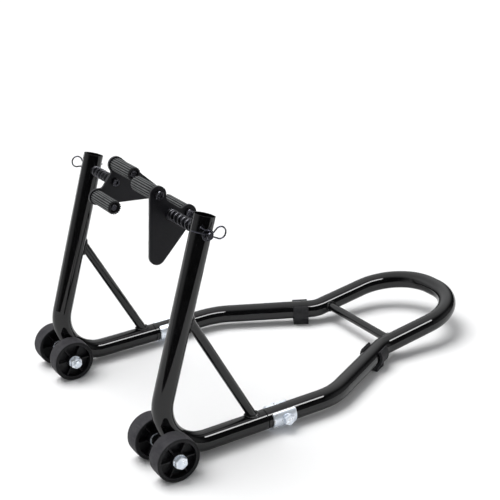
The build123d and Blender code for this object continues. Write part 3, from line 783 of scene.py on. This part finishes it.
for side, sign in SIDES:
    strut_low, strut_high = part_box(side + "_strut")
    run = Vector((strut_high.x - strut_low.x, 0, strut_low.z - strut_high.z))
    weld_bead(side + "_strut_welds", run, STRUT_RIPPLES, STRUT_BEAD)
    weld_bead(side + "_sleeve_welds", (0, 1, 0), SLEEVE_RIPPLES, SLEEVE_BEAD)
weld_bead("cross_bar_welds", (0, 1, 0), STRUT_RIPPLES, STRUT_BEAD)

# ------------------------------------------------- plates, clips and sleeves

for side, sign in SIDES:
    rounded(side + "_swing_plate", 0.7 * MM, segments=3)
    rounded(side + "_saddle", 0.5 * MM)
    rounded(side + "_foot_clip", 1.1 * MM, segments=3)
    rounded(side + "_axle_sleeve", 0.5 * MM)
    rounded(side + "_pin_sleeve", 0.4 * MM)
    rounded(side + "_spring_pin", 0.3 * MM)
    rounded(side + "_clip_washer", 0.3 * MM)
    rounded(side + "_spring_washer", 0.3 * MM)
rounded("axle_washers", 0.3 * MM)
rounded("coupling_washers", 0.3 * MM)

# ------------------------------------------------------- floor, light, camera


def floor_material():
    g = Graph("floor")
    tone = g.ramp(g.noise(0.8, 2.0), 0.0, 1.0, 0.3, 0.7)
    colour = g.mix(tone, (0.86, 0.86, 0.865), (0.885, 0.885, 0.885))
    g.join(colour, g.shader.inputs["Base Color"])
    g.set(Roughness=0.9, Specular_IOR_Level=0.0)
    return g.material


# the paper sweep ends in front of the stand, so upright tubes mirror a dark room there
FLOOR_FRONT = -1.05
FLOOR_FAR = 40.0
floor_mesh = bpy.data.meshes.new("floor")
floor_mesh.from_pydata(
    [(-FLOOR_FAR, FLOOR_FRONT, 0), (FLOOR_FAR, FLOOR_FRONT, 0),
     (FLOOR_FAR, FLOOR_FAR, 0), (-FLOOR_FAR, FLOOR_FAR, 0)],
    [], [(0, 1, 2, 3)],
)
floor_mesh.materials.append(floor_material())
floor = bpy.data.objects.new("floor", floor_mesh)
bpy.context.scene.collection.objects.link(floor)

# camera: azimuth and elevation of the view, roll, and distance to the aim point
CAMERA_AZIMUTH = 30.36
CAMERA_ELEVATION = 21.03
CAMERA_ROLL = 2.15
CAMERA_DISTANCE = 1.996
CAMERA_AIM = Vector((-0.0405, 0.0270, 0.2227))
CAMERA_LENS = 79.5
CAMERA_SENSOR = 36.0
CAMERA_SHIFT = (0.001, 0.0016)

azimuth, elevation = math.radians(CAMERA_AZIMUTH), math.radians(CAMERA_ELEVATION)
look = Vector((
    math.sin(azimuth) * math.cos(elevation),
    math.cos(azimuth) * math.cos(elevation),
    -math.sin(elevation),
))
camera_data = bpy.data.cameras.new("camera")
camera_data.lens = CAMERA_LENS
camera_data.sensor_width = CAMERA_SENSOR
camera_data.shift_x, camera_data.shift_y = CAMERA_SHIFT
camera = bpy.data.objects.new("camera", camera_data)
bpy.context.scene.collection.objects.link(camera)
camera.location = CAMERA_AIM - look * CAMERA_DISTANCE
upright = look.to_track_quat("-Z", "Y").to_matrix().to_4x4()
camera.rotation_mode = "QUATERNION"
roll = Matrix.Rotation(math.radians(-CAMERA_ROLL), 4, "Z")
camera.rotation_quaternion = (upright @ roll).to_quaternion()
bpy.context.scene.camera = camera


def light(name, kind, place, aim, energy, glossy, diffuse):
    data = bpy.data.lights.new(name, kind)
    data.energy = energy
    lamp = bpy.data.objects.new(name, data)
    bpy.context.scene.collection.objects.link(lamp)
    lamp.location = place
    lamp.rotation_euler = (Vector(place) - Vector(aim)).to_track_quat("Z", "Y").to_euler()
    lamp.visible_glossy = glossy
    lamp.visible_diffuse = diffuse
    return lamp


# two broad suns light the floor and the matt parts, and stay out of reflections
OVERHEAD_PLACE, OVERHEAD_STRENGTH, OVERHEAD_SPREAD = (-0.35, 0.50, 1.6), 2.9, 44.0
FRONT_PLACE, FRONT_STRENGTH, FRONT_SPREAD = (-0.5, -1.0, 0.75), 0.3, 80.0
ORIGIN = (0, 0, 0)
overhead = light("overhead", "SUN", OVERHEAD_PLACE, ORIGIN, OVERHEAD_STRENGTH, False, True)
overhead.data.angle = math.radians(OVERHEAD_SPREAD)
front = light("front", "SUN", FRONT_PLACE, ORIGIN, FRONT_STRENGTH, False, True)
front.data.angle = math.radians(FRONT_SPREAD)

# a long soft box, seen only in reflections, draws the highlight along the tubes
STRIP_PLACE, STRIP_AIM, STRIP_POWER = (0.42, -1.28, 1.95), (0.42, 0.0, 0.05), 46.0
STRIP_LENGTH, STRIP_WIDTH = 1.7, 0.50
strip = light("strip", "AREA", STRIP_PLACE, STRIP_AIM, STRIP_POWER, True, False)
strip.data.shape = "RECTANGLE"
strip.data.size, strip.data.size_y = STRIP_LENGTH, STRIP_WIDTH


MATT_WORLD = 0.36  # brightness of the surroundings for matt surfaces
SEEN_WORLD = 1.05  # and where the camera looks past the floor


def studio_world():
    """White for the camera, even for matt surfaces, and a studio for mirrors:
    a bright ceiling at the back, pale sides and a dark room behind the camera."""
    world = bpy.data.worlds.new("studio")
    world.use_nodes = True
    tree = world.node_tree
    background = tree.nodes["Background"]
    direction = tree.nodes.new("ShaderNodeTexCoord").outputs["Generated"]

    def glow(toward, start, end, low, high):
        dot = tree.nodes.new("ShaderNodeVectorMath")
        dot.operation = "DOT_PRODUCT"
        tree.links.new(direction, dot.inputs[0])
        dot.inputs[1].default_value = Vector(toward).normalized()
        remap = tree.nodes.new("ShaderNodeMapRange")
        remap.interpolation_type = "SMOOTHSTEP"
        tree.links.new(dot.outputs["Value"], remap.inputs["Value"])
        limits = {"From Min": start, "From Max": end, "To Min": low, "To Max": high}
        for key, value in limits.items():
            remap.inputs[key].default_value = value
        return remap.outputs["Result"]

    def total(first, second):
        node = tree.nodes.new("ShaderNodeMath")
        node.operation = "ADD"
        tree.links.new(first, node.inputs[0])
        tree.links.new(second, node.inputs[1])
        return node.outputs[0]

    ceiling = glow((0.0, 0.5, 0.866), 0.35, 0.85, 0.03, 1.15)
    left = glow((-0.86, 0.51, 0.05), 0.62, 0.97, 0.0, 0.55)
    right = glow((0.86, -0.51, 0.05), 0.80, 0.99, 0.0, 0.35)
    studio = total(total(ceiling, left), right)
    paths = tree.nodes.new("ShaderNodeLightPath")
    matt = tree.nodes.new("ShaderNodeMix")
    tree.links.new(paths.outputs["Is Glossy Ray"], matt.inputs[MIX_FLOAT_FACTOR])
    matt.inputs[MIX_FLOAT_A].default_value = MATT_WORLD
    tree.links.new(studio, matt.inputs[MIX_FLOAT_B])
    seen = tree.nodes.new("ShaderNodeMix")
    tree.links.new(paths.outputs["Is Camera Ray"], seen.inputs[MIX_FLOAT_FACTOR])
    tree.links.new(matt.outputs[MIX_FLOAT_OUT], seen.inputs[MIX_FLOAT_A])
    seen.inputs[MIX_FLOAT_B].default_value = SEEN_WORLD
    tree.links.new(seen.outputs[MIX_FLOAT_OUT], background.inputs["Strength"])
    background.inputs["Color"].default_value = (0.98, 0.99, 1.0, 1.0)
    bpy.context.scene.world = world


studio_world()
bpy.context.scene.view_settings.view_transform = "Standard"
bpy.context.scene.view_settings.look = "None"
